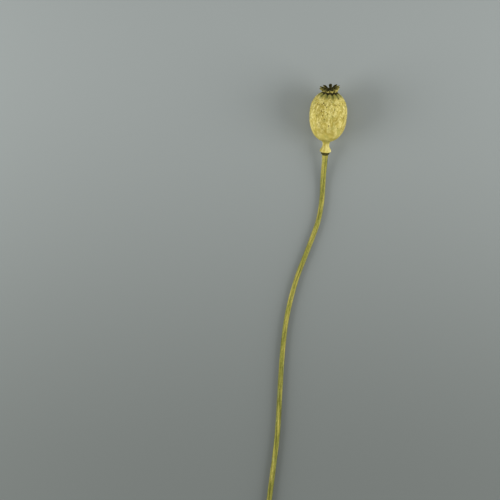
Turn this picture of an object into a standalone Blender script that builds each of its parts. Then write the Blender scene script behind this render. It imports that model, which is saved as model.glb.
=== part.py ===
"""A dried poppy seed head laid on a table: seed capsule, rayed crown and a length of cut stem.

The head is shaped upright about its own axis. Heights run along that axis in millimetres, from the
underside of the flare below the capsule (0) to the crown. Azimuths run round it in degrees: 0 is the
right-hand side and 90 is the side that ends up underneath. The head is then tipped over onto a small
flat spot on its belly, and that spot is the origin. The stem leaves the flare along the head's axis,
sinks to the table and lies on it along a gentle S.
"""

import math

import bmesh
import bpy
from mathutils import Matrix, Vector

MM = 0.001

# The capsule: a barrel that closes in two rounded halves, on a narrow neck with a flare
CAPSULE_RADIUS = 18.8
CAPSULE_BASE_HEIGHT = 11.3
CAPSULE_WIDEST_HEIGHT = 38.7
CAPSULE_CLOSING_HEIGHT = 62.6
BARREL_POWER = 2.25
NECK_RADIUS = 3.1
NECK_TOP_HEIGHT = 12.2
NECK_TOP_SPREAD = 3.0
NECK_TOP_REACH = 1.3
NECK_FILLET = 1.5
FLARE_RADIUS = 5.65
FLARE_HEIGHT = 1.1
FLARE_FOOT_RADIUS = 4.4
FLARE_SPREAD = 3.3
COLLAR_RADIUS = 7.1
COLLAR_FILLET = 1.6
COLLAR_HEIGHT = 62.4

# Relief of the capsule's skin. Ribs and dents fade in and out along the barrel
RIB_DEPTH = 0.2
RELIEF_START = 13.0
RELIEF_FULL = 26.0
RELIEF_FADING = 50.0
RELIEF_END = 60.0
PLEAT_DEPTH = 0.65
PLEAT_REACH = 3.8
DENT_DEPTH = 0.4
# Each dent wave: its share, how many go round, radians of turn per millimetre of height, and phase
DENT_WAVES = ((0.5, 2, 0.09, 0.0), (0.3, 3, -0.06, 1.0))

# The crown: a disc with one cupped ray at each of these azimuths
RAY_AZIMUTHS = (16.0, 48.0, 86.0, 126.0, 160.0, 190.0, 222.0, 255.0, 285.0, 318.0, 347.0)
RAY_COUNT = len(RAY_AZIMUTHS)
DISC_SEAT_RADIUS = 7.6
DISC_TOP_RADIUS = 3.5
DISC_MIDDLE_HEIGHT = 2.2
DISC_DISHING = 1.5
DISC_NOTCH_DEPTH = 1.4
RAY_ROOT_HEIGHT = 2.7
RAY_BACK_HEIGHT = 0.2
RAY_TIP_RADIUS = 10.3
RAY_TIP_HEIGHT = 4.0
RAY_TIP_THICKNESS = 0.8
RAY_UPPER_DROOP = 1.0
RAY_INNER_CURL = 1.7
RAY_BACK_SPREAD = 1.4
RAY_BACK_CURL = 0.9
RAY_HALF_WIDTH = 1.9
RAY_STALK_SHARE = 0.5
RAY_BACK_STALK_SHARE = 0.85
RAY_BACK_SHARE = 0.85
RAY_CUP = 0.8
# The disc and the rays stand a little askew on the seat, highest at this azimuth
CROWN_TILT = math.radians(9.5)
CROWN_HIGH_SIDE = math.radians(28.0)

# Where along a ray, from 0 at its root to 1 at its tip, its form changes
RAY_FREE_AT = 0.3
RAY_CUPPED_AT = 0.5
SPOON_START = 0.15
SPOON_FULL = 0.7
TIP_ROUNDING_START = 0.55
TIP_ROUNDING = 0.93
TIP_RIM_START = 0.7

# The stem: its route in plan, counted from the middle of the flare's foot, and its radii
STEM_ROUTE = (
    (-2.1, -25.8),
    (-3.5, -48.8),
    (-6.8, -67.8),
    (-12.2, -83.8),
    (-19.9, -103.8),
    (-29.0, -127.8),
    (-37.2, -158.8),
    (-42.2, -192.8),
    (-45.2, -235.8),
    (-48.0, -281.8),
    (-53.0, -323.8),
    (-59.0, -368.8),
)
STEM_STRAIGHT_START = 12.0
STEM_RADIUS = 2.5
STEM_TOP_SWELLING = 0.6
STEM_TOP_REACH = 30.0
STEM_SHOULDER_SWELLING = 0.45
STEM_SHOULDER_REACH = 4.0
STEM_FOOT_SWELLING = 0.3

# The ring-shaped scar below the flare, with rounded edges
SCAR_RADIUS = 4.5
SCAR_LENGTH = 2.7
SCAR_ROUNDING = 0.4
SCAR_TAPER = 0.1

# How the head lies: its crown end is raised by the tilt, and turned to the right by the lean
HEAD_TILT = math.radians(16.0)
HEAD_LEAN = math.radians(4.3)
FLAT_SPOT_DEPTH = 0.7
JOINT_GAP = 0.3

# Mesh fineness
CAPSULE_SIDES = 5 * RAY_COUNT
CAPSULE_RING_SPACING = 1.75
OUTLINE_SAMPLES = 4000
STEM_SIDES = 12
STEM_RING_SPACING = 5.0
RAY_STEPS_ACROSS = 4
RAY_STEPS_ALONG = 6
DISC_RINGS = 2
BODY_CREASE = math.radians(40.0)
CROWN_CREASE = math.radians(50.0)


def smooth_max(first, second, fillet):
    """The larger of two values, with a rounded change-over of the given size between them."""
    return 0.5 * (first + second + math.sqrt((first - second) ** 2 + fillet ** 2))


def fade(start, end, value):
    """Rises smoothly from 0 at start to 1 at end."""
    share = min(max((value - start) / (end - start), 0.0), 1.0)
    return share * share * (3.0 - 2.0 * share)


def barrel_radius(height):
    """Radius of the capsule's barrel alone, each half a superellipse."""
    if height < CAPSULE_WIDEST_HEIGHT:
        reach = CAPSULE_WIDEST_HEIGHT - CAPSULE_BASE_HEIGHT
    else:
        reach = CAPSULE_CLOSING_HEIGHT - CAPSULE_WIDEST_HEIGHT
    share = min(abs(height - CAPSULE_WIDEST_HEIGHT) / reach, 1.0)
    return CAPSULE_RADIUS * (1.0 - share ** BARREL_POWER) ** (1.0 / BARREL_POWER)


def neck_radius(height):
    """Radius of the neck, which widens to the barrel above and to the bell-shaped flare below."""
    if height < FLARE_HEIGHT:
        rounding = math.sqrt(1.0 - (1.0 - height / FLARE_HEIGHT) ** 2)
        return FLARE_FOOT_RADIUS + (FLARE_RADIUS - FLARE_FOOT_RADIUS) * rounding
    bell = math.exp(-((height - FLARE_HEIGHT) / FLARE_SPREAD) ** 2)
    below_barrel = math.exp(-max(NECK_TOP_HEIGHT - height, 0.0) / NECK_TOP_REACH)
    return NECK_RADIUS + (FLARE_RADIUS - NECK_RADIUS) * bell + NECK_TOP_SPREAD * below_barrel


def outline_radius(height):
    """Radius of the whole capsule node: flare, neck, barrel and collar."""
    if height < CAPSULE_WIDEST_HEIGHT:
        return smooth_max(barrel_radius(height), neck_radius(height), NECK_FILLET)
    return smooth_max(barrel_radius(height), COLLAR_RADIUS, COLLAR_FILLET)


def outline_heights():
    """Heights of the capsule's rings, evenly spaced along the outline from foot to collar."""
    heights = [COLLAR_HEIGHT * sample / OUTLINE_SAMPLES for sample in range(OUTLINE_SAMPLES + 1)]
    lengths = [0.0]
    for low, high in zip(heights, heights[1:]):
        widening = outline_radius(high) - outline_radius(low)
        lengths.append(lengths[-1] + math.hypot(high - low, widening))
    count = round(lengths[-1] / CAPSULE_RING_SPACING)
    rings = []
    place = 0
    for ring in range(count + 1):
        target = lengths[-1] * ring / count
        while place < OUTLINE_SAMPLES and lengths[place] < target:
            place += 1
        rings.append(heights[place])
    return rings


def ray_phase(azimuth):
    """Whole numbers on the rays and halves midway between them, all the way round."""
    azimuth = (azimuth - RAY_AZIMUTHS[0]) % 360.0 + RAY_AZIMUTHS[0]
    stops = RAY_AZIMUTHS + (RAY_AZIMUTHS[0] + 360.0,)
    for index in range(RAY_COUNT):
        if azimuth <= stops[index + 1]:
            return index + (azimuth - stops[index]) / (stops[index + 1] - stops[index])
    return float(RAY_COUNT)


def skin_relief(height, azimuth):
    """How far the capsule's skin stands out from the plain outline."""
    under_ray = math.cos(2.0 * math.pi * ray_phase(azimuth))
    on_barrel = fade(RELIEF_START, RELIEF_FULL, height) * (1.0 - fade(RELIEF_FADING, RELIEF_END, height))
    near_collar = math.exp(-((COLLAR_HEIGHT - height) / PLEAT_REACH) ** 2)
    pleating = near_collar * (1.0 - fade(RELIEF_END, COLLAR_HEIGHT, height))
    dents = 0.0
    for share, waves, twist, phase in DENT_WAVES:
        dents += share * math.cos(waves * math.radians(azimuth) + twist * height + phase)
    return (DENT_DEPTH * dents - RIB_DEPTH * under_ray) * on_barrel - PLEAT_DEPTH * under_ray * pleating


def belly_height():
    """Height of the ring that is lowest once the head is tipped over."""
    def depth(height):
        return outline_radius(height) * math.cos(HEAD_TILT) - height * math.sin(HEAD_TILT)

    return max(outline_heights(), key=depth)


def head_placement():
    """Matrix that takes upright millimetres about the head's axis to the resting head in metres."""
    touching = belly_height()
    radius = outline_radius(touching)
    lift = radius * math.cos(HEAD_TILT) - touching * math.sin(HEAD_TILT) - FLAT_SPOT_DEPTH
    back = touching * math.cos(HEAD_TILT) + radius * math.sin(HEAD_TILT)
    tip_over = Matrix.Rotation(HEAD_TILT - math.pi / 2.0, 4, "X")
    settle = Matrix.Translation((0.0, -back, lift))
    turn = Matrix.Rotation(-HEAD_LEAN, 4, "Z")
    return Matrix.Scale(MM, 4) @ turn @ settle @ tip_over


def on_axis(radius, azimuth, height):
    """Point of the upright head at a radius, an azimuth in degrees and a height."""
    turn = math.radians(azimuth)
    return Vector((radius * math.cos(turn), radius * math.sin(turn), height))


def material(name, colour, roughness):
    """A plain surface of one colour."""
    surface = bpy.data.materials.new(name)
    surface.use_nodes = True
    shader = surface.node_tree.nodes["Principled BSDF"]
    shader.inputs["Base Color"].default_value = (*colour, 1.0)
    shader.inputs["Roughness"].default_value = roughness
    shader.inputs["Metallic"].default_value = 0.0
    return surface


def finish_object(name, mesh, surface, crease):
    """Turn a bmesh into a smooth-shaded object in the scene."""
    bmesh.ops.recalc_face_normals(mesh, faces=mesh.faces)
    bmesh.ops.triangulate(mesh, faces=mesh.faces)
    data = bpy.data.meshes.new(name)
    mesh.to_mesh(data)
    mesh.free()
    data.materials.append(surface)
    data.shade_smooth()
    data.set_sharp_from_angle(angle=crease)
    piece = bpy.data.objects.new(name, data)
    bpy.context.scene.collection.objects.link(piece)


def join_rings(mesh, lower, upper):
    """Faces between two closed rings of the same number of vertices."""
    count = len(lower)
    for index in range(count):
        following = (index + 1) % count
        mesh.faces.new((lower[index], lower[following], upper[following], upper[index]))


def cap_ring(mesh, ring, centre):
    """Close a ring with a fan of triangles about a point."""
    middle = mesh.verts.new(centre)
    for index in range(len(ring)):
        mesh.faces.new((ring[index], ring[(index + 1) % len(ring)], middle))


def build_capsule(placement, surface):
    """The capsule with its flare, neck and collar, flattened where it rests."""
    mesh = bmesh.new()
    rings = []
    for height in outline_heights():
        ring = []
        for side in range(CAPSULE_SIDES):
            azimuth = 360.0 * side / CAPSULE_SIDES
            radius = outline_radius(height) + skin_relief(height, azimuth)
            point = placement @ on_axis(radius, azimuth, height)
            point.z = max(point.z, 0.0)
            ring.append(mesh.verts.new(point))
        rings.append(ring)
    for lower, upper in zip(rings, rings[1:]):
        join_rings(mesh, lower, upper)
    cap_ring(mesh, rings[0], placement @ Vector((0.0, 0.0, 0.0)))
    cap_ring(mesh, rings[-1], placement @ Vector((0.0, 0.0, COLLAR_HEIGHT)))
    finish_object("capsule", mesh, surface, BODY_CREASE)


def root_azimuth(index, across):
    """Azimuth at a ray's root, where its edges at across -1 and 1 are midway to its neighbours."""
    here = RAY_AZIMUTHS[index]
    beside = RAY_AZIMUTHS[(index + 1) % RAY_COUNT] if across > 0.0 else RAY_AZIMUTHS[index - 1]
    gap = (beside - here) % 360.0 if across > 0.0 else (here - beside) % 360.0
    return here + 0.5 * gap * across


def across_steps():
    """Places across a ray, from -1 at one edge to 1 at the other."""
    return [2.0 * step / RAY_STEPS_ACROSS - 1.0 for step in range(RAY_STEPS_ACROSS + 1)]


def askew(point):
    """Tilt a point of the crown with the disc. The seat stays flat, and the wall between them follows."""
    axis = on_axis(1.0, math.degrees(CROWN_HIGH_SIDE) - 90.0, 0.0)
    tilted = Matrix.Rotation(CROWN_TILT, 3, axis) @ point
    return point.lerp(tilted, fade(0.0, RAY_ROOT_HEIGHT, point.z))


def back_notch(across):
    """How far the disc's outer wall is set in, which is most between two rays."""
    return DISC_NOTCH_DEPTH * across ** 2


def ray_centre_line(index, along, is_back):
    """Radius and height of the middle of a ray's inner face or of its back.

    Heights count from the crown's seat. The inner face starts at the top of the disc, and the back
    starts further out and lower, just above the seat. The rays on the upper side of the lying head
    stand lower than the rest.
    """
    upper_side = max(-math.sin(math.radians(RAY_AZIMUTHS[index])), 0.0)
    tip_height = RAY_TIP_HEIGHT - RAY_UPPER_DROOP * upper_side
    if is_back:
        back_rise = tip_height - RAY_TIP_THICKNESS - RAY_BACK_HEIGHT
        radius = DISC_SEAT_RADIUS + (RAY_TIP_RADIUS - DISC_SEAT_RADIUS) * along ** RAY_BACK_SPREAD
        return radius, RAY_BACK_HEIGHT + back_rise * along ** RAY_BACK_CURL
    radius = DISC_TOP_RADIUS + (RAY_TIP_RADIUS - DISC_TOP_RADIUS) * along
    return radius, RAY_ROOT_HEIGHT + (tip_height - RAY_ROOT_HEIGHT) * along ** RAY_INNER_CURL


def ray_half_width(along, is_back):
    """Half the free width of a ray: a narrow stalk, wider on its back, that ends in a rounded spoon."""
    stalk_share = RAY_BACK_STALK_SHARE if is_back else RAY_STALK_SHARE
    spoon = stalk_share + (1.0 - stalk_share) * fade(SPOON_START, SPOON_FULL, along)
    narrowing = math.sqrt(1.0 - (TIP_ROUNDING * fade(TIP_ROUNDING_START, 1.0, along)) ** 2)
    return RAY_HALF_WIDTH * spoon * narrowing * (RAY_BACK_SHARE if is_back else 1.0)


def ray_point(index, across, along, is_back):
    """Point on a ray. Across runs from -1 to 1, and along from 0 at the root to 1 at the tip."""
    radius, height = ray_centre_line(index, along, is_back)
    middle = RAY_AZIMUTHS[index]
    root_radius = radius - back_notch(across) if is_back else radius
    root = on_axis(root_radius, root_azimuth(index, across), height)
    sideways = on_axis(1.0, middle + 90.0, 0.0)
    free = on_axis(radius, middle, height) + sideways * across * ray_half_width(along, is_back)
    rim = max(across ** 2, fade(TIP_RIM_START, 1.0, along))
    free.z += RAY_CUP * fade(0.0, RAY_CUPPED_AT, along) * rim
    return askew(root.lerp(free, fade(0.0, RAY_FREE_AT, along)))


def crown_disc(mesh, is_back):
    """One face of the crown's disc. Returns the vertices of its rim."""
    rim_radius = DISC_SEAT_RADIUS if is_back else DISC_TOP_RADIUS
    rim_height = 0.0 if is_back else RAY_ROOT_HEIGHT
    middle_height = 0.0 if is_back else DISC_MIDDLE_HEIGHT
    rings = []
    for ring_number in range(1, DISC_RINGS + 1):
        share = ring_number / DISC_RINGS
        height = middle_height + (rim_height - middle_height) * share ** DISC_DISHING
        ring = []
        for index in range(RAY_COUNT):
            for across in across_steps()[:-1]:
                radius = rim_radius - back_notch(across) if is_back else rim_radius
                ring.append(mesh.verts.new(askew(on_axis(radius * share, root_azimuth(index, across), height))))
        rings.append(ring)
    for inside, outside in zip(rings, rings[1:]):
        join_rings(mesh, inside, outside)
    cap_ring(mesh, rings[0], askew(Vector((0.0, 0.0, middle_height))))
    return rings[-1]


def ray_face(mesh, disc_rim, index, is_back):
    """One face of a ray, grown from the disc's rim. Returns its rows of vertices, root to tip."""
    first = index * RAY_STEPS_ACROSS
    rows = [[disc_rim[(first + step) % len(disc_rim)] for step in range(RAY_STEPS_ACROSS + 1)]]
    for along_step in range(1, RAY_STEPS_ALONG + 1):
        along = along_step / RAY_STEPS_ALONG
        rows.append([mesh.verts.new(ray_point(index, across, along, is_back)) for across in across_steps()])
    for near, far in zip(rows, rows[1:]):
        for step in range(RAY_STEPS_ACROSS):
            mesh.faces.new((near[step], near[step + 1], far[step + 1], far[step]))
    return rows


def close_ray(mesh, inner, back):
    """The rim between a ray's two faces: both edges and the tip."""
    for step in range(RAY_STEPS_ALONG):
        for edge in (0, RAY_STEPS_ACROSS):
            mesh.faces.new((inner[step][edge], inner[step + 1][edge], back[step + 1][edge], back[step][edge]))
    for step in range(RAY_STEPS_ACROSS):
        mesh.faces.new((inner[-1][step], inner[-1][step + 1], back[-1][step + 1], back[-1][step]))


def build_crown(placement, surface):
    """The disc and its rays, grown together in one body, just clear of the capsule's collar."""
    mesh = bmesh.new()
    disc_top = crown_disc(mesh, False)
    disc_seat = crown_disc(mesh, True)
    for index in range(RAY_COUNT):
        inner = ray_face(mesh, disc_top, index, False)
        back = ray_face(mesh, disc_seat, index, True)
        close_ray(mesh, inner, back)
    seat = Matrix.Translation((0.0, 0.0, COLLAR_HEIGHT + JOINT_GAP))
    bmesh.ops.transform(mesh, matrix=placement @ seat, verts=mesh.verts)
    finish_object("crown", mesh, surface, CROWN_CREASE)


def curve_through(points, spacing):
    """Points at about the given spacing on a smooth curve that passes through all the given ones."""
    ends = [points[0] * 2.0 - points[1]] + list(points) + [points[-1] * 2.0 - points[-2]]
    curve = []
    for before, here, after, beyond in zip(ends, ends[1:], ends[2:], ends[3:]):
        steps = max(round((after - here).length / spacing), 1)
        for step in range(steps):
            share = step / steps
            bend = (
                here * 2.0
                + (after - before) * share
                + (before * 2.0 - here * 5.0 + after * 4.0 - beyond) * share ** 2
                + (here * 3.0 - before - after * 3.0 + beyond) * share ** 3
            )
            curve.append(bend * 0.5)
    curve.append(points[-1].copy())
    return curve


def stem_radius(distance, whole_length):
    """Radius of the stem at a distance from its top, below the scar ring."""
    top = STEM_TOP_SWELLING * math.exp(-distance / STEM_TOP_REACH)
    shoulder = STEM_SHOULDER_SWELLING * math.exp(-distance / STEM_SHOULDER_REACH)
    foot = STEM_FOOT_SWELLING * (distance / whole_length) ** 2
    return STEM_RADIUS + top + shoulder + foot


def stem_plan(top, heading):
    """Points of the stem's route in plan, at height 0, and how far along it each one is."""
    route = [top, top + heading * STEM_STRAIGHT_START] + [top + Vector((x, y, 0.0)) for x, y in STEM_ROUTE]
    plan = curve_through([Vector((point.x, point.y, 0.0)) for point in route], STEM_RING_SPACING)
    distances = [0.0]
    for near, far in zip(plan, plan[1:]):
        distances.append(distances[-1] + (far - near).length)
    return plan, distances


def stem_rings(top, heading):
    """Centre and radius of each ring of the stem, in millimetres, from the flare to the cut end.

    The stem leaves the flare at the head's tilt and sinks to the table along a parabola.
    """
    plan, distances = stem_plan(top, heading)
    # A ring's lowest side is flat on the table, so its centre is this share of a radius up
    side_height = math.cos(math.pi / STEM_SIDES)
    landing_length = 2.0 * (top.z - STEM_RADIUS * side_height) / math.tan(HEAD_TILT)
    top_drop = top.z - stem_radius(0.0, distances[-1]) * side_height
    rings = []
    for point, distance in zip(plan, distances):
        radius = stem_radius(distance, distances[-1])
        still_up = max(1.0 - distance / landing_length, 0.0)
        height = radius * side_height + top_drop * still_up ** 2
        rings.append((Vector((point.x, point.y, height)), radius))
    return rings


def scar_rings(top, heading, stem_top_radius):
    """Centre and radius of each ring of the scar just under the flare, down to the stem proper."""
    profile = (
        (JOINT_GAP, SCAR_RADIUS - SCAR_ROUNDING),
        (JOINT_GAP + SCAR_ROUNDING, SCAR_RADIUS),
        (SCAR_LENGTH - 0.5 * SCAR_ROUNDING, SCAR_RADIUS - SCAR_TAPER),
        (SCAR_LENGTH + 0.5 * SCAR_ROUNDING, stem_top_radius),
    )
    return [(top + heading * distance, radius) for distance, radius in profile]


def build_stem(placement, surface):
    """The stem: a tube of rings square to its route, closed at the scar and at the plain cut end."""
    top = placement @ Vector((0.0, 0.0, 0.0)) / MM
    heading = (placement.to_3x3() @ Vector((0.0, 0.0, -1.0))).normalized()
    below_flare = stem_rings(top, heading)
    sections = scar_rings(top, heading, below_flare[0][1]) + below_flare[1:]
    mesh = bmesh.new()
    rings = []
    last = len(sections) - 1
    for index, (centre, radius) in enumerate(sections):
        ahead = sections[min(index + 1, last)][0] - sections[max(index - 1, 0)][0]
        sideways = ahead.cross(Vector((0.0, 0.0, 1.0))).normalized()
        upwards = sideways.cross(ahead).normalized()
        ring = []
        for side in range(STEM_SIDES):
            turn = 2.0 * math.pi * (side + 0.5) / STEM_SIDES
            offset = sideways * math.sin(turn) + upwards * math.cos(turn)
            ring.append(mesh.verts.new((centre + offset * radius) * MM))
        rings.append(ring)
    for near, far in zip(rings, rings[1:]):
        join_rings(mesh, near, far)
    cap_ring(mesh, rings[0], sections[0][0] * MM)
    cap_ring(mesh, rings[-1], sections[-1][0] * MM)
    finish_object("stem", mesh, surface, BODY_CREASE)


def main():
    """Clear the scene and build the three pieces."""
    for existing in list(bpy.data.objects):
        bpy.data.objects.remove(existing, do_unlink=True)
    placement = head_placement()
    build_capsule(placement, material("capsule skin", (0.50, 0.40, 0.12), 0.75))
    build_crown(placement, material("crown rays", (0.15, 0.13, 0.04), 0.85))
    build_stem(placement, material("stem bark", (0.24, 0.22, 0.06), 0.8))


main()
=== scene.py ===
"""Looks of a dried poppy seed head that lies on a table, seen from straight above.

Each sub-assembly is shaped in millimetres about the head's own upright axis and then laid down into
the frame, which is in metres. Heights run along that axis from the underside of the flare (0) to the
crown. Azimuths run round it: 0 is the right-hand side, and 90 the side that lies underneath.
"""

from __future__ import annotations

import logging
import math
from collections.abc import Callable
from dataclasses import dataclass
from enum import Enum
from typing import Any

import bmesh
import bpy
import numpy as np
from bmesh.types import BMVert, BMesh
from bpy.types import ID, Material, Mesh, Node, NodeSocket, NodeTree, Object, bpy_prop_collection
from mathutils import Matrix, Vector


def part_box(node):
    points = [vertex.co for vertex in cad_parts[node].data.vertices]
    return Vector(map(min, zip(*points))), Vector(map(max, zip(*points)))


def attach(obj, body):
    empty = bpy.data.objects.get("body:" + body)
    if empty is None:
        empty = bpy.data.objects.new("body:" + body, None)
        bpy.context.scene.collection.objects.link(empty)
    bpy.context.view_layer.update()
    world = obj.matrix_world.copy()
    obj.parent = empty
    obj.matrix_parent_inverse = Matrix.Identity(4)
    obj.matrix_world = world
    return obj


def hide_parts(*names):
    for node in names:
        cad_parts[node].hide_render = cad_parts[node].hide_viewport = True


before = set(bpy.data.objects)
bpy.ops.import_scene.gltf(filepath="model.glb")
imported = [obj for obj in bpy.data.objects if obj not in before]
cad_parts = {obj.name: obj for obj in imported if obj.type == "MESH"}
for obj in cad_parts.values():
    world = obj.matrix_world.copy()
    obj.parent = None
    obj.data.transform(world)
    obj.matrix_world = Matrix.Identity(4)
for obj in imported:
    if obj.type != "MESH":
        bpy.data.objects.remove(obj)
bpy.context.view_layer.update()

LOG = logging.getLogger("poppy_seed_head")
MM = 0.001
FULL_TURN = 2.0 * math.pi

Colour = tuple[float, float, float]
Pair = tuple[float, float]
Span = tuple[float, float, float, float]
Points = list[BMVert]


class Slot(Enum):
    """Names of the finishes."""

    CAPSULE = "capsule_skin"
    CROWN = "crown_rays"
    STEM = "stem_bark"


# Numbers and meshes


def fade(start: float, end: float, value: Any) -> Any:
    """Rise smoothly from 0 where the value is start to 1 where it is end."""
    share = np.clip((value - start) / (end - start), 0.0, 1.0)
    return share * share * (3.0 - 2.0 * share)


def plateau(span: Span, value: Any) -> Any:
    """Rise from 0 at the span's first number to 1 at its second, and sink from its third to its last."""
    return fade(span[0], span[1], value) * (1.0 - fade(span[2], span[3], value))


def smooth_max(first: Any, second: Any, fillet: float) -> Any:
    """Take the larger of two values, with a rounded change-over of the fillet's size between them."""
    return 0.5 * (first + second + np.sqrt((first - second) ** 2 + fillet**2))


def on_axis(radius: Any, azimuth: Any, height: Any) -> np.ndarray:
    """Place points round the upright axis, by turns in radians. Their coordinates come last."""
    parts = np.broadcast_arrays(radius * np.cos(azimuth), radius * np.sin(azimuth), height)
    return np.stack(parts, axis=-1)


def tube_faces(ring_count: int, side_count: int) -> list[tuple[int, ...]]:
    """List the faces of a closed tube of rings, whose two fan centres come after all the rings.

    Args:
        ring_count: Number of rings, first to last.
        side_count: Points on each ring, counterclockwise seen from the last ring's end.

    Returns:
        Faces that point outwards.
    """
    sides = [(side, (side + 1) % side_count) for side in range(side_count)]
    faces: list[tuple[int, ...]] = []
    for start in range(0, (ring_count - 1) * side_count, side_count):
        end = start + side_count
        faces += [(start + here, start + beside, end + beside, end + here) for here, beside in sides]
    centre = ring_count * side_count
    last_ring = centre - side_count
    for here, beside in sides:
        faces += [(beside, here, centre), (last_ring + here, last_ring + beside, centre + 1)]
    return faces


def keep_values(mesh: Mesh, values: dict[str, np.ndarray]) -> None:
    """Store a number or a vector at each point of a mesh.

    Args:
        mesh: The mesh.
        values: Arrays by name, one row for each point.
    """
    for name, array in values.items():
        kind, key = ("FLOAT_VECTOR", "vector") if array.ndim == 2 else ("FLOAT", "value")
        attribute = mesh.attributes.new(name, kind, "POINT")
        attribute.data.foreach_set(key, array.astype(np.float32).ravel())


def add_object(name: str, data: ID) -> Object:
    """Put a mesh, a lamp or a camera into the scene.

    Args:
        name: The object's name.
        data: What it holds.

    Returns:
        The new object, at the origin.
    """
    piece = bpy.data.objects.new(name, data)
    bpy.context.scene.collection.objects.link(piece)
    return piece


# Node trees


def operator(operation: str, from_right: bool = False) -> Callable[[Signal, Feed], Signal]:
    """Make one of a signal's operators.

    Args:
        operation: What a Math node calls it.
        from_right: Whether the signal is its right-hand side.

    Returns:
        The operator.
    """

    def work_out(signal: Signal, other: Feed) -> Signal:
        """Work out the operation on the signal and another value."""
        sides = (other, signal) if from_right else (signal, other)
        return signal.graph.combine(operation, *sides)

    return work_out


@dataclass(frozen=True)
class Signal:
    """A number, a vector or a colour that a node tree works out, with Python's arithmetic on it."""

    graph: Graph
    socket: NodeSocket

    __add__ = operator("ADD")
    __radd__ = operator("ADD", from_right=True)
    __sub__ = operator("SUBTRACT")
    __rsub__ = operator("SUBTRACT", from_right=True)
    __mul__ = operator("MULTIPLY")
    __rmul__ = operator("MULTIPLY", from_right=True)
    __truediv__ = operator("DIVIDE")
    __rtruediv__ = operator("DIVIDE", from_right=True)
    __rpow__ = operator("POWER", from_right=True)


Feed = Signal | NodeSocket | float | int | str | tuple


@dataclass(frozen=True)
class Grain:
    """Smooth noise with lumps of one width, in millimetres, and longer where the stretch is under 1."""

    width: float
    stretch: float = 1.0
    detail: float = 2.0
    distortion: float = 0.0
    shift: float = 0.0
    depth: float = 0.0


class Graph:
    """A node tree that is being filled."""

    def __init__(self, tree: NodeTree) -> None:
        """Start on a tree."""
        self.tree = tree

    def node(self, kind: str, settings: dict[str, Any] | None = None, **sockets: Feed) -> Node:
        """Add a node.

        Args:
            kind: The node's type.
            settings: Its own settings, set before its sockets.
            **sockets: Values or links of its inputs, by identifier or name.

        Returns:
            The node.
        """
        node = self.tree.nodes.new(kind)
        for name, value in (settings or {}).items():
            setattr(node, name, value)
        for name, value in sockets.items():
            self.feed(self.find(node.inputs, name), value)
        return node

    @staticmethod
    def find(sockets: bpy_prop_collection, name: str) -> NodeSocket:
        """Find a socket.

        Args:
            sockets: A node's inputs or outputs.
            name: The socket's identifier or, failing that, its name, with underscores for blanks.

        Returns:
            The socket.
        """
        for socket in sockets:
            if socket.identifier.replace(" ", "_") == name:
                return socket
        enabled = [socket for socket in sockets if socket.enabled]
        return next(socket for socket in enabled if socket.name.replace(" ", "_") == name)

    def feed(self, socket: NodeSocket, value: Feed) -> None:
        """Link or set one input.

        Args:
            socket: The input.
            value: A signal or an output to link, or a value to set.
        """
        if isinstance(value, Signal):
            value = value.socket
        if isinstance(value, NodeSocket):
            self.tree.links.new(value, socket)
            return
        if socket.type == "VECTOR" and isinstance(value, (int, float)):
            value = (value, value, value)
        if socket.type == "RGBA" and len(value) == 3:
            value = (*value, 1.0)
        socket.default_value = value

    def output(self, node: Node, name: str) -> Signal:
        """Wrap one output of a node."""
        return Signal(self, self.find(node.outputs, name))

    def read(self, name: str, kind: str, settings: dict[str, Any] | None = None, **sockets: Feed) -> Signal:
        """Add a node and wrap its output of that name."""
        return self.output(self.node(kind, settings, **sockets), name)

    def combine(self, operation: str, first: Feed, second: Feed) -> Signal:
        """Work out one operation on two numbers, or part by part on vectors.

        Args:
            operation: The node's operation.
            first: Left-hand side.
            second: Right-hand side.

        Returns:
            The result.
        """
        settings = {"operation": operation}
        signals = [side for side in (first, second) if isinstance(side, Signal)]
        if any(signal.socket.type == "VECTOR" for signal in signals):
            return self.read("Vector", "ShaderNodeVectorMath", settings, Vector=first, Vector_001=second)
        return self.read("Value", "ShaderNodeMath", settings, Value=first, Value_001=second)

    def fade(self, start: Feed, end: Feed, value: Feed) -> Signal:
        """Rise smoothly from 0 where the value is start to 1 where it is end."""
        sockets = {"Value": value, "From_Min": start, "From_Max": end}
        return self.read("Result", "ShaderNodeMapRange", {"interpolation_type": "SMOOTHSTEP"}, **sockets)

    def between(self, ends: Pair, share: Signal) -> Signal:
        """Go from the first of two numbers where the share is 0 to the second where it is 1."""
        return ends[0] + (ends[1] - ends[0]) * share

    def noise(self, place: Signal, grain: Grain, width: Feed | None = None) -> Signal:
        """Make noise about 0.5.

        Args:
            place: Coordinates in millimetres, lengthwise along Z.
            grain: What the noise is like.
            width: Where its width is read from, if not from the grain.

        Returns:
            The noise.
        """
        return self.read(
            "Fac",
            "ShaderNodeTexNoise",
            Vector=place * (1.0, 1.0, grain.stretch) + grain.shift,
            Scale=1.0 / (width or grain.width),
            Detail=grain.detail,
            Distortion=grain.distortion,
        )

    def cells(self, place: Signal, spacing: float) -> tuple[Signal, Signal]:
        """Scatter points: the distance to the nearest, in spacings, and its three random numbers."""
        node = self.node("ShaderNodeTexVoronoi", Vector=place, Scale=1.0 / spacing)
        return self.output(node, "Distance"), self.output(node, "Color")

    def part(self, vector: Signal, axis: str) -> Signal:
        """Take one coordinate of a vector."""
        return self.read(axis, "ShaderNodeSeparateXYZ", Vector=vector)


@dataclass(frozen=True)
class Glaze:
    """A tint that is laid over a colour where a pattern passes from start to end."""

    pattern: Signal
    start: float
    end: float
    tint: Colour
    strength: Feed = 1.0


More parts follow.
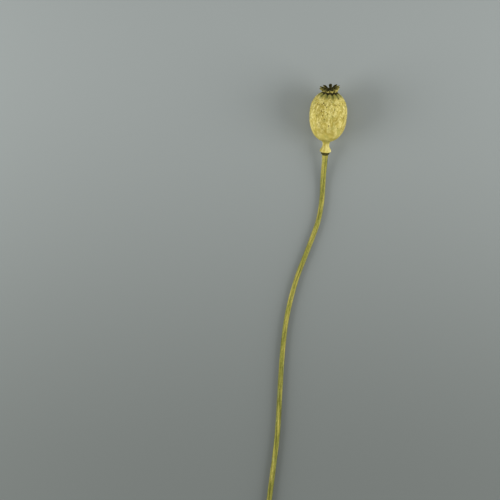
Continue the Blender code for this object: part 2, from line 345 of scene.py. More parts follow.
class Surface(Graph):
    """A material: one Principled shader whose colour, roughness and bump are painted by nodes."""

    def __init__(self, name: str, specular: float) -> None:
        """Start a material.

        Args:
            name: The material's name.
            specular: How strongly it reflects, the same all over.
        """
        self.material = bpy.data.materials.new(name)
        self.material.use_nodes = True
        super().__init__(self.material.node_tree)
        self.shader = self.tree.nodes["Principled BSDF"]
        self.shader.inputs["Specular IOR Level"].default_value = specular

    def kept(self, name: str, output: str = "Fac") -> Signal:
        """Read a number kept at the mesh's points, or a vector if the output is so named."""
        return self.read(output, "ShaderNodeAttribute", {"attribute_name": name})

    def place(self) -> Signal:
        """Read the object's own coordinates, in millimetres."""
        return self.read("Object", "ShaderNodeTexCoord") * (1.0 / MM)

    def mix(self, share: Feed, first: Feed, second: Feed) -> Signal:
        """Mix two colours: only the first where the share is 0, only the second where it is 1."""
        sockets = {"Factor_Float": share, "A_Color": first, "B_Color": second}
        return self.read("Result_Color", "ShaderNodeMix", {"data_type": "RGBA"}, **sockets)

    def shade(self, colour: Feed, brightness: Signal) -> Signal:
        """Multiply a colour by a brightness."""
        settings = {"operation": "SCALE"}
        return self.read("Vector", "ShaderNodeVectorMath", settings, Vector=colour, Scale=brightness)

    def glaze(self, colour: Feed, *glazes: Glaze) -> Feed:
        """Lay tints over a colour.

        Args:
            colour: The colour below them.
            *glazes: The tints, lowest first.

        Returns:
            The new colour.
        """
        for glaze in glazes:
            share = self.fade(glaze.start, glaze.end, glaze.pattern) * glaze.strength
            colour = self.mix(share, colour, glaze.tint)
        return colour

    def paint(self, colour: Feed, roughness: Feed, height: Signal, depth: float) -> Material:
        """Finish the material.

        Args:
            colour: Base colour.
            roughness: Roughness.
            height: Relief for the bump, 0 to 1.
            depth: What a relief of 1 stands for, in metres.

        Returns:
            The material.
        """
        self.feed(self.shader.inputs["Base Color"], colour)
        self.feed(self.shader.inputs["Roughness"], roughness)
        normal = self.read("Normal", "ShaderNodeBump", Height=height, Distance=depth)
        self.feed(self.shader.inputs["Normal"], normal)
        return self.material


class ShapeTree(Graph):
    """A Geometry Nodes tree with named inputs that reshapes one object."""

    SOCKET_TYPES = {float: "NodeSocketFloat", int: "NodeSocketInt", Material: "NodeSocketMaterial"}

    def __init__(self, name: str, finish: Material) -> None:
        """Start a tree.

        Args:
            name: The tree's name.
            finish: The material of what it makes.
        """
        super().__init__(bpy.data.node_groups.new(name, "GeometryNodeTree"))
        self.sizes: dict[str, float | int | Material] = {}
        for way in ("INPUT", "OUTPUT"):
            self.tree.interface.new_socket("Geometry", in_out=way, socket_type="NodeSocketGeometry")
        self.geometry = self.read("Geometry", "NodeGroupInput").socket
        self.finish = self.size("Finish", finish)

    def size(self, name: str, value: float | int | Material) -> Signal:
        """Add a named input and read it.

        Args:
            name: The input's name.
            value: What the modifier sets it to.

        Returns:
            The input.
        """
        kind = self.SOCKET_TYPES[type(value)]
        identifier = self.tree.interface.new_socket(name, in_out="INPUT", socket_type=kind).identifier
        self.sizes[identifier] = value
        return self.read(identifier, "NodeGroupInput")

    def kept(self, name: str, kind: str = "FLOAT") -> Signal:
        """Read a number kept at the mesh's points, or a vector if the kind is so named."""
        return self.read("Attribute", "GeometryNodeInputNamedAttribute", {"data_type": kind}, Name=name)

    def place(self) -> Signal:
        """Read the position of each point, in metres."""
        return self.read("Position", "GeometryNodeInputPosition")

    def join(self, x: Feed, y: Feed, z: Feed) -> Signal:
        """Make a vector of three numbers."""
        return self.read("Vector", "ShaderNodeCombineXYZ", X=x, Y=y, Z=z)

    def change(self, kind: str, settings: dict[str, Any] | None = None, **sockets: Feed) -> Node:
        """Add a node that changes the geometry, and go on from what it puts out.

        Args:
            kind: The node's type.
            settings: Its own settings.
            **sockets: Its other inputs.

        Returns:
            The node.
        """
        node = self.node(kind, settings, **sockets)
        self.feed(node.inputs[0], self.geometry)
        self.geometry = node.outputs[0]
        return node

    def keep(self, name: str, value: Signal) -> None:
        """Keep a number or a vector at the mesh's points."""
        kind = "FLOAT_VECTOR" if value.socket.type == "VECTOR" else "FLOAT"
        self.change("GeometryNodeStoreNamedAttribute", {"data_type": kind}, Name=name, Value=value)

    def relief(self, name: str, place: Signal, grain: Grain) -> Signal:
        """Make bumps about 0, in millimetres, with named inputs for the grain's width and depth."""
        noise = self.noise(place, grain, self.size(f"{name} Width", grain.width))
        return (noise - 0.5) * self.size(f"{name} Depth", grain.depth)

    def raise_skin(self, height: Signal) -> None:
        """Move every point along its normal, by a height in millimetres."""
        normal = self.read("Normal", "GeometryNodeInputNormal")
        self.change("GeometryNodeSetPosition", Offset=normal * (height * MM))

    def rest_on_table(self) -> None:
        """Lift what would be below the table up to it. The model is well inside the sideways limits."""
        limits = (-1.0, -1.0, 0.0)
        self.change("GeometryNodeSetPosition", Position=self.combine("MAXIMUM", self.place(), limits))

    def apply(self, piece: Object) -> None:
        """Finish the tree, run it on an object and keep the result as its plain mesh.

        Args:
            piece: The object. Its modifiers are removed.
        """
        self.change("GeometryNodeRealizeInstances")
        self.change("GeometryNodeSetMaterial", Material=self.finish)
        self.node("NodeGroupOutput", Geometry=self.geometry)
        modifier = piece.modifiers.new(self.tree.name, "NODES")
        modifier.node_group = self.tree
        for identifier, value in self.sizes.items():
            modifier[identifier] = value
        depsgraph = bpy.context.evaluated_depsgraph_get()
        reshaped = piece.evaluated_get(depsgraph)
        made = bpy.data.meshes.new_from_object(reshaped, preserve_all_data_layers=True, depsgraph=depsgraph)
        piece.modifiers.clear()
        piece.data = made


# Finishes


@dataclass(frozen=True)
class StrawSkin:
    """The capsule's dry skin: mottled straw with pale patches, brown flecks and olive stains, and painted
    shade in the recess under the crown and along the barrel's lower edge.
    """

    shaded: Colour = (0.350, 0.275, 0.045)
    straw: Colour = (0.545, 0.452, 0.104)
    pale: Colour = (0.770, 0.680, 0.260)
    brown: Colour = (0.080, 0.056, 0.012)
    olive: Colour = (0.330, 0.318, 0.074)
    moss: Colour = (0.155, 0.165, 0.036)
    # groove: near-black painted shade for the recess between the collar and the crown
    groove: Colour = (0.018, 0.015, 0.004)
    clouds: Grain = Grain(10.0)
    stains: Grain = Grain(6.0, shift=40.0)
    patches: Grain = Grain(3.6, 0.45, distortion=0.3)
    mottle: Grain = Grain(1.1, 0.45, detail=3.0)
    fine: Grain = Grain(0.45, 0.45)
    pale_strength: Pair = (0.32, 0.72)
    mottle_strength: Pair = (0.08, 0.68)
    brightness: Pair = (0.86, 1.14)
    roughness: Pair = (0.60, 0.84)
    fleck_warp: Grain = Grain(1.0 / 1.3)
    fleck_shift: float = 1.2
    fleck_spacing: float = 1.6
    fleck_reach: Pair = (0.05, 0.17)
    fleck_strength: Pair = (0.38, 0.60)
    fleck_fray: float = 0.35
    fleck_edge: Pair = (0.07, -0.06)
    large_rarity: Pair = (0.93, 0.73)
    large_reach: Pair = (0.21, 0.33)
    large_strength: Pair = (0.16, 0.56)
    bump_depth: float = 0.00008

    # Heights along the axis
    fleck_rise: Pair = (16.0, 46.0)
    fleck_crowd: Pair = (44.0, 57.0)
    fleck_end: Pair = (60.0, 58.8)
    upper_part: Pair = (18.0, 42.0)
    # olive over the barrel's lower edge above the neck: partly a green tint, partly painted shade
    neck_tint_and_shade: Pair = (20.0, 11.0)
    neck_tint_and_shade_end: Pair = (8.0, 11.5)
    flare_tint: Pair = (10.5, 7.5)
    moss_band: Pair = (57.5, 60.5)
    moss_streaks: Pair = (56.0, 59.5)
    # where the painted shade under the crown starts, lower under each ray
    arch_height: float = 61.6
    arch_rise: float = 1.2

    def flecks(self, skin: Surface, upright: Signal, height: Signal, fine: Signal) -> Signal:
        """Paint brown flecks of many sizes, thicker towards the crown.

        Args:
            skin: The material.
            upright: Place on the upright head.
            height: Height along its axis.
            fine: Fine noise, which frays their edges.

        Returns:
            How brown each place is, 0 to 1.
        """
        warped = upright + skin.noise(upright, self.fleck_warp) * self.fleck_shift
        distance, chances = skin.cells(warped, self.fleck_spacing)
        chance, darkness, rarity = (skin.part(chances, axis) for axis in "YZX")
        upper = skin.fade(*self.fleck_rise, height)
        large = skin.fade(0.0, 0.1, rarity - skin.between(self.large_rarity, upper))
        reach = skin.between(self.fleck_reach, chance * upper)
        reach = reach + skin.between(self.large_reach, skin.fade(*self.fleck_crowd, height)) * large
        strength = skin.between(self.fleck_strength, chance)
        strength = strength + skin.between(self.large_strength, darkness) * large
        frayed = distance + (fine - 0.5) * self.fleck_fray
        brown = skin.fade(*self.fleck_edge, frayed - reach) * strength * skin.kept("barrel")
        return brown * skin.fade(*self.fleck_end, height)

    def material(self) -> Material:
        """Make the material.

        Returns:
            The material.
        """
        skin = Surface("straw skin", specular=0.15)
        upright = skin.kept("upright", "Vector")
        height = skin.part(upright, "Z")
        patches = skin.noise(upright, self.patches)
        mottle = skin.noise(upright, self.mottle)
        fine = skin.noise(upright, self.fine)
        upper = skin.fade(*self.upper_part, height)
        mottling = skin.between(self.mottle_strength, upper)
        under_ray = skin.kept("under_ray")
        ridge = (1.0 - under_ray) * skin.kept("barrel")
        streaks = skin.fade(0.15, 0.80, under_ray) * skin.fade(0.05, 0.45, mottle)
        painted_shade_above_arch = height - self.arch_height + under_ray * self.arch_rise
        colour = skin.glaze(
            self.shaded,
            Glaze(skin.noise(upright, self.clouds), 0.32, 0.64, self.straw),
            Glaze(patches, 0.34, 0.60, self.pale, 0.25 * ridge),
            Glaze(patches, 0.46, 0.70, self.pale, skin.between(self.pale_strength, upper)),
            Glaze(mottle, 0.56, 0.36, self.shaded, mottling),
            Glaze(mottle, 0.52, 0.66, self.pale, mottling),
            Glaze(skin.noise(upright, self.stains), 0.54, 0.70, self.olive, 0.5),
            # olive above the neck: partly the skin's green tint, partly painted shade under the barrel
            Glaze(height, *self.neck_tint_and_shade, self.olive, 0.36 * skin.fade(*self.neck_tint_and_shade_end, height)),
            Glaze(patches, 0.34, 0.66, self.pale, 0.68 * skin.fade(*self.flare_tint, height)),
            Glaze(height, *self.moss_band, self.moss, 0.55),
            Glaze(height, *self.moss_streaks, self.moss, 0.9 * streaks),
            # painted shade: near-black in the recess under the crown, in arches over the pleats
            Glaze(painted_shade_above_arch, -0.4, 0.4, self.groove, 0.96),
        )
        flecks = self.flecks(skin, upright, height, fine)
        colour = skin.mix(flecks, colour, self.brown)
        colour = skin.shade(colour, skin.between(self.brightness, fine))
        relief = fine * 0.5 + mottle * 0.7 - flecks * 0.4
        return skin.paint(colour, skin.between(self.roughness, fine), relief, self.bump_depth)


@dataclass(frozen=True)
class RayCrust:
    """The crown's dry rays: nearly black inside, olive outside and lighter along the rims, with painted
    shade on their backs near the roots.
    """

    # velvet: the dark inside of the rays, also laid as painted shade on their backs
    velvet: Colour = (0.043, 0.036, 0.008)
    olive: Colour = (0.185, 0.165, 0.042)
    rim: Colour = (0.370, 0.330, 0.090)
    back: Colour = (0.470, 0.390, 0.105)
    fibres: Grain = Grain(0.35, detail=3.0)
    mottle: Grain = Grain(1.6)
    brightness: Pair = (0.8, 1.2)
    roughness: Pair = (0.74, 0.94)
    bump_depth: float = 0.00006

    def material(self) -> Material:
        """Make the material.

        Returns:
            The material.
        """
        crust = Surface("ray crust", specular=0.1)
        upright = crust.kept("upright", "Vector")
        mottle = crust.noise(upright, self.mottle)
        fibres = crust.noise(upright, self.fibres)
        inner, along, margin = (crust.kept(name) for name in ("inner", "along", "margin"))
        velvet = crust.kept("velvet") + (fibres - 0.5) * 0.3
        # painted shade: the rays' backs go dark near their roots and between them, where the crown
        # overhangs the collar
        painted_shade_between_roots = crust.fade(0.65, 1.0, margin) * crust.fade(0.45, 0.15, along)
        foot = crust.fade(0.18, 0.04, along)
        outside = crust.glaze(self.olive, Glaze(mottle, 0.28, 0.52, self.back))
        # the painted shade is laid in the nearly black velvet colour
        outside = crust.mix(crust.combine("MAXIMUM", painted_shade_between_roots, foot) * 0.9, outside, self.velvet)
        inside = crust.glaze(
            self.rim,
            Glaze(mottle, 0.30, 0.60, self.olive),
            Glaze(velvet, 0.35, 0.60, self.velvet),
        )
        colour = crust.glaze(
            crust.mix(crust.fade(0.35, 0.65, inner), outside, inside),
            Glaze(margin, 0.60, 0.85, self.rim, 0.75 * crust.fade(0.15, 0.40, along)),
            Glaze(along + inner * 0.1, 0.92, 0.99, self.velvet, 0.85),
        )
        colour = crust.shade(colour, crust.between(self.brightness, fibres))
        return crust.paint(colour, crust.between(self.roughness, fibres), fibres, self.bump_depth)


@dataclass(frozen=True)
class StemBark:
    """The stem's dry bark: long streaks of olive and tan, a dark scar ring darkened further by painted
    shade under the flare, and a pale cut end.
    """

    dark: Colour = (0.080, 0.078, 0.012)
    olive: Colour = (0.215, 0.213, 0.034)
    tan: Colour = (0.430, 0.365, 0.078)
    lichen: Colour = (0.300, 0.330, 0.120)
    # the scar ring's own dark colour, deepened to stand for the shade under the flare
    scar_and_shade: Colour = (0.042, 0.038, 0.008)
    pith: Colour = (0.580, 0.520, 0.320)
    streaks: Grain = Grain(1.1, 0.06, detail=3.0)
    blotches: Grain = Grain(2.6, 0.10, detail=3.0)
    spots: Grain = Grain(2.6 / 1.7, 0.15, shift=30.0)
    speckle: Grain = Grain(1.25, 0.6, detail=1.0)
    fine: Grain = Grain(0.45, 0.3, detail=3.0)
    brightness: Pair = (0.33, 0.73)
    speckle_brightness: float = 0.96
    roughness: Pair = (0.62, 0.87)
    bump_depth: float = 0.00010

    # Distances from the flare's foot
    top_tint: Pair = (9.0, 3.0)
    scar_and_shade_edge: Pair = (3.6, 2.8)

    def material(self) -> Material:
        """Make the material.

        Returns:
            The material.
        """
        bark = Surface("stem bark", specular=0.15)
        rolled = bark.kept("rolled", "Vector")
        distance = bark.part(rolled, "Z")
        streaks = bark.noise(rolled, self.streaks)
        blotches = bark.noise(rolled, self.blotches)
        fine = bark.noise(rolled, self.fine)
        colour = bark.glaze(
            self.dark,
            Glaze(streaks, 0.30, 0.50, self.olive),
            Glaze(blotches, 0.46, 0.64, self.tan, 0.75),
            Glaze(blotches, 0.46, 0.32, self.dark, 0.65),
            Glaze(streaks, 0.55, 0.70, self.tan, 0.5),
            Glaze(bark.noise(rolled, self.spots), 0.60, 0.72, self.lichen, 0.6),
            Glaze(distance, *self.top_tint, self.tan, 0.5),
            # near-black on the scar ring: partly its own colour, partly painted shade under the flare
            Glaze(distance, *self.scar_and_shade_edge, self.scar_and_shade, 0.95),
            Glaze(bark.kept("cut_share"), 0.86, 0.74, self.pith),
        )
        speckle = bark.noise(rolled, self.speckle) * self.speckle_brightness
        colour = bark.shade(colour, bark.between(self.brightness, fine) + speckle)
        relief = fine * 0.6 + streaks * 0.6
        return bark.paint(colour, bark.between(self.roughness, fine), relief, self.bump_depth)


@dataclass(frozen=True)
class Crumb:
    """Small raised dots in one mottled colour."""

    name: str
    light: Colour
    dark: Colour
    mottle: Grain = Grain(0.8)
    fine: Grain = Grain(0.1, detail=1.0)
    roughness: Pair = (0.75, 0.95)
    bump_depth: float = 0.00003

    def material(self) -> Material:
        """Make the material.

        Returns:
            The material.
        """
        crumb = Surface(self.name, specular=0.12)
        mottle = crumb.noise(crumb.place(), self.mottle)
        fine = crumb.noise(crumb.place(), self.fine)
        colour = crumb.glaze(self.dark, Glaze(mottle, 0.35, 0.65, self.light))
        return crumb.paint(colour, crumb.between(self.roughness, fine), fine, self.bump_depth)


@dataclass(frozen=True)
class TablePaper:
    """The plain pale sheet that the head lies on, with painted shade that darkens it towards the stem's
    end.
    """

    light: Colour = (0.304, 0.328, 0.320)
    dark: Colour = (0.172, 0.187, 0.177)
    painted_light_falloff: Pair = (-380.0, 120.0)
    tooth: Grain = Grain(0.8)
    roughness: Pair = (0.9, 1.0)
    bump_depth: float = 0.00001

    def material(self) -> Material:
        """Make the material.

        Returns:
            The material.
        """
        paper = Surface("table paper", specular=0.1)
        tooth = paper.noise(paper.place(), self.tooth)
        # painted light fall-off: the paper goes darker towards the stem's end
        colour = paper.glaze(self.dark, Glaze(paper.part(paper.place(), "Y"), *self.painted_light_falloff, self.light))
        return paper.paint(colour, paper.between(self.roughness, tooth), tooth, self.bump_depth)


# The head's layout


@dataclass(frozen=True)
class RayLayout:
    """Where the crown's rays stand round the axis, in degrees."""

    azimuths: tuple[float, ...] = (16.0, 48.0, 86.0, 126.0, 160.0, 190.0, 222.0, 255.0, 285.0, 318.0, 347.0)
    gap_power: float = 1.4

    @property
    def count(self) -> int:
        """Number of rays."""
        return len(self.azimuths)

    def wave(self, azimuth: np.ndarray) -> np.ndarray:
        """Run a wave round the axis that is 1 on the rays and -1 midway between them.

        Args:
            azimuth: Turns in radians.

        Returns:
            The wave at each turn.
        """
        stops = np.array((*self.azimuths, self.azimuths[0] + 360.0))
        turned = (np.degrees(azimuth) - stops[0]) % 360.0 + stops[0]
        return np.cos(FULL_TURN * np.interp(turned, stops, np.arange(self.count + 1)))

    def under_ray(self, azimuth: np.ndarray) -> np.ndarray:
        """Share of the groove under each ray, 1 on it and 0 midway to the next."""
        return (0.5 + 0.5 * self.wave(azimuth)) ** self.gap_power

    def root_azimuth(self, index: int, across: float) -> float:
        """Turn at a ray's root, whose edges are midway to its neighbours.

        Args:
            index: The ray.
            across: From -1 at one edge to 1 at the other.

        Returns:
            The turn in radians.
        """
        here = self.azimuths[index]
        step = 1 if across > 0.0 else -1
        beside = self.azimuths[(index + step) % self.count]
        gap = (step * (beside - here)) % 360.0
        return math.radians(here + 0.5 * gap * across)


@dataclass(frozen=True)
class HeadPose:
    """How the upright head is laid down: tipped back, leaned, and moved to its place in the frame."""

    back: float
    lift: float
    tilt: float = math.radians(16.0)
    lean: float = math.radians(4.3)

    @property
    def rotation(self) -> Matrix:
        """Turn from upright to lying."""
        return Matrix.Rotation(-self.lean, 4, "Z") @ Matrix.Rotation(self.tilt - math.pi / 2.0, 4, "X")

    @property
    def matrix(self) -> Matrix:
        """Upright millimetres to the frame's metres."""
        shift = Matrix.Rotation(-self.lean, 4, "Z") @ Vector((0.0, -self.back, self.lift))
        return Matrix.Scale(MM, 4) @ Matrix.Translation(shift) @ self.rotation

    def lay_down(self, upright: np.ndarray) -> np.ndarray:
        """Bring points about the upright axis, in millimetres, into the frame, in metres."""
        matrix = np.array(self.matrix)
        return upright @ matrix[:3, :3].T + matrix[:3, 3]

    @classmethod
    def to_fit(cls, upright: np.ndarray, node: str) -> HeadPose:
        """Find the pose in which a shape fills the box of its CAD node.

        Args:
            upright: The shape's points, in millimetres.
            node: The node's name.

        Returns:
            The pose.
        """
        flat = cls(back=0.0, lift=0.0)
        turned = flat.lay_down(upright) / MM
        low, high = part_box(node)
        back = (turned[:, 1].min() - low.y / MM) / math.cos(flat.lean)
        return cls(back=float(back), lift=float(high.z / MM - turned[:, 2].max()))


# Sub-assemblies


@dataclass(frozen=True)
class Specks:
    """Small raised dots, scattered over a surface or thick along its dark parts."""

    name: str
    slot: Slot
    finish: Crumb
    radius: float
    flatness: float
    spacing: float
    density: float
    seed: int
    segments: int = 8
    smallest: float = 0.45
    largest: float = 1.25
    stretch: float = 1.3
    bare_height: float = 0.5
    full_height: float = 2.0

    def build(self, carrier: Object) -> Object:
        """Scatter the dots on a finished piece that keeps the value "speckled".

        Args:
            carrier: The piece that they grow on.

        Returns:
            The dots as one piece.
        """
        tree = ShapeTree(self.name, self.finish.material())
        seed = tree.size("Seed", self.seed)
        off_table = tree.fade(self.bare_height * MM, self.full_height * MM, tree.part(tree.place(), "Z"))
        scatter = tree.change(
            "GeometryNodeDistributePointsOnFaces",
            {"distribute_method": "POISSON"},
            Distance_Min=tree.size("Spacing", self.spacing * MM),
            Density_Max=tree.size("Density", self.density / MM**2),
            Density_Factor=tree.kept("speckled") * off_table,
            Seed=seed,
        )
        radius = tree.size("Dot Radius", self.radius * MM)
        rings = self.segments // 2
        dot = tree.node("GeometryNodeMeshUVSphere", Segments=self.segments, Rings=rings, Radius=radius)
        sockets = {"Min_001": self.smallest, "Max_001": self.largest, "Seed": seed}
        growth = tree.read("Value_001", "FunctionNodeRandomValue", {"data_type": "FLOAT"}, **sockets)
        tree.change(
            "GeometryNodeInstanceOnPoints",
            Instance=dot.outputs["Mesh"],
            Rotation=scatter.outputs["Rotation"],
            Scale=tree.join(growth, growth * self.stretch, growth * tree.size("Flatness", self.flatness)),
        )
        tree.change("GeometryNodeSetShadeSmooth")
        piece = add_object(self.name, carrier.data.copy())
        tree.apply(piece)
        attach(piece, "root")
        return piece


@dataclass(frozen=True)
class Capsule:
    """The seed capsule with its neck, the flare below it and the collar under the crown."""

    rays: RayLayout
    radius: float = 18.8
    base_height: float = 11.3
    widest_height: float = 38.7
    closing_height: float = 62.6
    barrel_power: float = 2.25
    neck_radius: float = 3.1
    neck_top_height: float = 12.2
    neck_top_spread: float = 3.0
    neck_top_reach: float = 1.3
    neck_fillet: float = 1.5
    flare_radius: float = 5.65
    flare_height: float = 1.1
    flare_foot_radius: float = 4.4
    flare_spread: float = 3.3
    collar_radius: float = 7.1
    collar_fillet: float = 1.6
    collar_height: float = 62.4
    rib_depth: float = 0.2
    dent_depth: float = 0.4
    dent_waves: tuple[Span, ...] = ((0.5, 2.0, 0.09, 0.0), (0.3, 3.0, -0.06, 1.0))
    pleat_depth: float = 0.95
    pleat_reach: float = 3.6
    pleat_end_height: float = 60.8
    blisters: Grain = Grain(3.6, 0.45, distortion=0.3, depth=0.34)
    wrinkles: Grain = Grain(1.1, 0.225, depth=0.14)
    skin_inset: float = 0.09
    least_loose: float = 0.25
    crown_step: float = 0.3
    sharp_angle: float = math.radians(60.0)
    sides: int = 360
    ring_count: int = 250
    outline_samples: int = 4000

    # Heights along the axis between which the dents, the barrel, the loose skin and the dots are
    belly: Span = (13.0, 26.0, 50.0, 60.0)
    barrel: Pair = (12.0, 22.0)
    loose_skin: Span = (12.0, 20.0, 57.0, 61.0)
    speckled: Span = (13.0, 56.0, 58.0, 60.0)

    finish: StrawSkin = StrawSkin()
    specks: Specks = Specks(
        "capsule_specks",
        Slot.CAPSULE,
        Crumb("speck crust", light=(0.400, 0.300, 0.080), dark=(0.160, 0.112, 0.028)),
        radius=0.20,
        flatness=0.22,
        spacing=1.2,
        density=0.07,
        seed=7,
    )

    def outline(self, height: np.ndarray) -> np.ndarray:
        """Radius of the plain outline.

        Args:
            height: Heights along the axis.

        Returns:
            The radius at each height.
        """
        above_widest = height - self.widest_height
        below = above_widest < 0.0
        end_height = np.where(below, self.base_height, self.closing_height)
        reach = np.abs(end_height - self.widest_height)
        share = np.minimum(np.abs(above_widest) / reach, 1.0)
        barrel = self.radius * (1.0 - share**self.barrel_power) ** (1.0 / self.barrel_power)
        bell = np.exp(-(((height - self.flare_height) / self.flare_spread) ** 2))
        below_barrel = np.exp(-np.maximum(self.neck_top_height - height, 0.0) / self.neck_top_reach)
        neck = self.neck_radius + (self.flare_radius - self.neck_radius) * bell
        neck = neck + self.neck_top_spread * below_barrel
        foot_share = np.clip(1.0 - height / self.flare_height, 0.0, 1.0)
        foot_width = self.flare_radius - self.flare_foot_radius
        foot = self.flare_foot_radius + foot_width * np.sqrt(1.0 - foot_share**2)
        neck = np.where(height < self.flare_height, foot, neck)
        lower = smooth_max(barrel, neck, self.neck_fillet)
        upper = smooth_max(barrel, self.collar_radius, self.collar_fillet)
        return np.where(below, lower, upper)

    def ring_heights(self) -> np.ndarray:
        """Spread the rings evenly along the outline.

        Returns:
            Their heights, from the foot to the collar.
        """
        heights = np.linspace(0.0, self.collar_height, self.outline_samples)
        steps = np.hypot(np.diff(heights), np.diff(self.outline(heights)))
        lengths = np.concatenate(([0.0], np.cumsum(steps)))
        return np.interp(np.linspace(0.0, lengths[-1], self.ring_count), lengths, heights)

    def relief(self, height: np.ndarray, azimuth: np.ndarray) -> np.ndarray:
        """How far the skin stands out from the plain outline.

        Args:
            height: Heights along the axis.
            azimuth: Turns in radians.

        Returns:
            Ribs, dents and the pleats below the rays, in millimetres.
        """
        dents = sum(
            depth * np.cos(count * azimuth + twist * height + start)
            for depth, count, twist, start in self.dent_waves
        )
        broad = self.dent_depth * dents - self.rib_depth * self.rays.wave(azimuth)
        near_collar = np.exp(-(((self.collar_height - height) / self.pleat_reach) ** 2))
        pleating = near_collar * (1.0 - fade(self.pleat_end_height, self.collar_height, height))
        groove = self.rays.under_ray(azimuth) * 2.0 - 1.0
        return broad * plateau(self.belly, height) - self.pleat_depth * groove * pleating

    def upright_points(self) -> np.ndarray:
        """Shape the capsule about its upright axis.

        Returns:
            Rings of points, then the two end centres.
        """
        height = self.ring_heights()[:, None]
        azimuth = np.linspace(0.0, FULL_TURN, self.sides, endpoint=False)[None, :]
        radius = self.outline(height) + self.relief(height, azimuth)
        rings = on_axis(radius, azimuth, height).reshape(-1, 3)
        return np.concatenate((rings, [(0.0, 0.0, 0.0), (0.0, 0.0, self.collar_height)]))

    def _skin_tree(self) -> ShapeTree:
        """Set up the fine relief: long soft blisters and finer wrinkles, flattened on the table.

        Returns:
            The tree.
        """
        tree = ShapeTree("capsule skin relief", self.finish.material())
        upright = tree.kept("upright", "FLOAT_VECTOR")
        relief = tree.relief("Blister", upright, self.blisters)
        relief = relief + tree.relief("Wrinkle", upright, self.wrinkles)
        tree.raise_skin(relief * tree.kept("loose") - tree.size("Inset", self.skin_inset))
        tree.rest_on_table()
        return tree

    def build(self, pose: HeadPose) -> Object:
        """Make the capsule.

        Args:
            pose: How the head lies.

        Returns:
            The capsule's skin as one piece.
        """
        upright = self.upright_points()
        height = upright[:, 2]
        mesh = bpy.data.meshes.new("capsule_skin")
        mesh.from_pydata(pose.lay_down(upright), [], tube_faces(self.ring_count, self.sides))
        mesh.shade_smooth()
        values = {
            "upright": upright,
            "barrel": fade(*self.barrel, height),
            "loose": self.least_loose + (1.0 - self.least_loose) * plateau(self.loose_skin, height),
            "under_ray": self.rays.under_ray(np.arctan2(upright[:, 1], upright[:, 0])),
            "speckled": plateau(self.speckled, height),
        }
        keep_values(mesh, values)
        piece = add_object("capsule_shell", mesh)
        self._skin_tree().apply(piece)
        piece.data.set_sharp_from_angle(angle=self.sharp_angle)
        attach(piece, "root")
        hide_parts("capsule")
        return piece


@dataclass(frozen=True)
class RayHabit:
    """How one ray differs from the others."""

    index: int
    reach: float
    width: float
    rise: float
    twist: float


@dataclass(frozen=True)
class CrownFace:
    """One side of the crown, the upper one if nothing else is said: its disc, and how its rays run on."""

    inner: float = 1.0
    root_radius: float = 3.5
    notch_depth: float = 0.0
    middle_height: float = 2.2
    rim_height: float = 2.7
    root_height: float = 2.7
    tip_drop: float = 0.0
    radius_power: float = 1.0
    height_power: float = 1.7
    stalk_share: float = 0.48
    width_share: float = 1.0


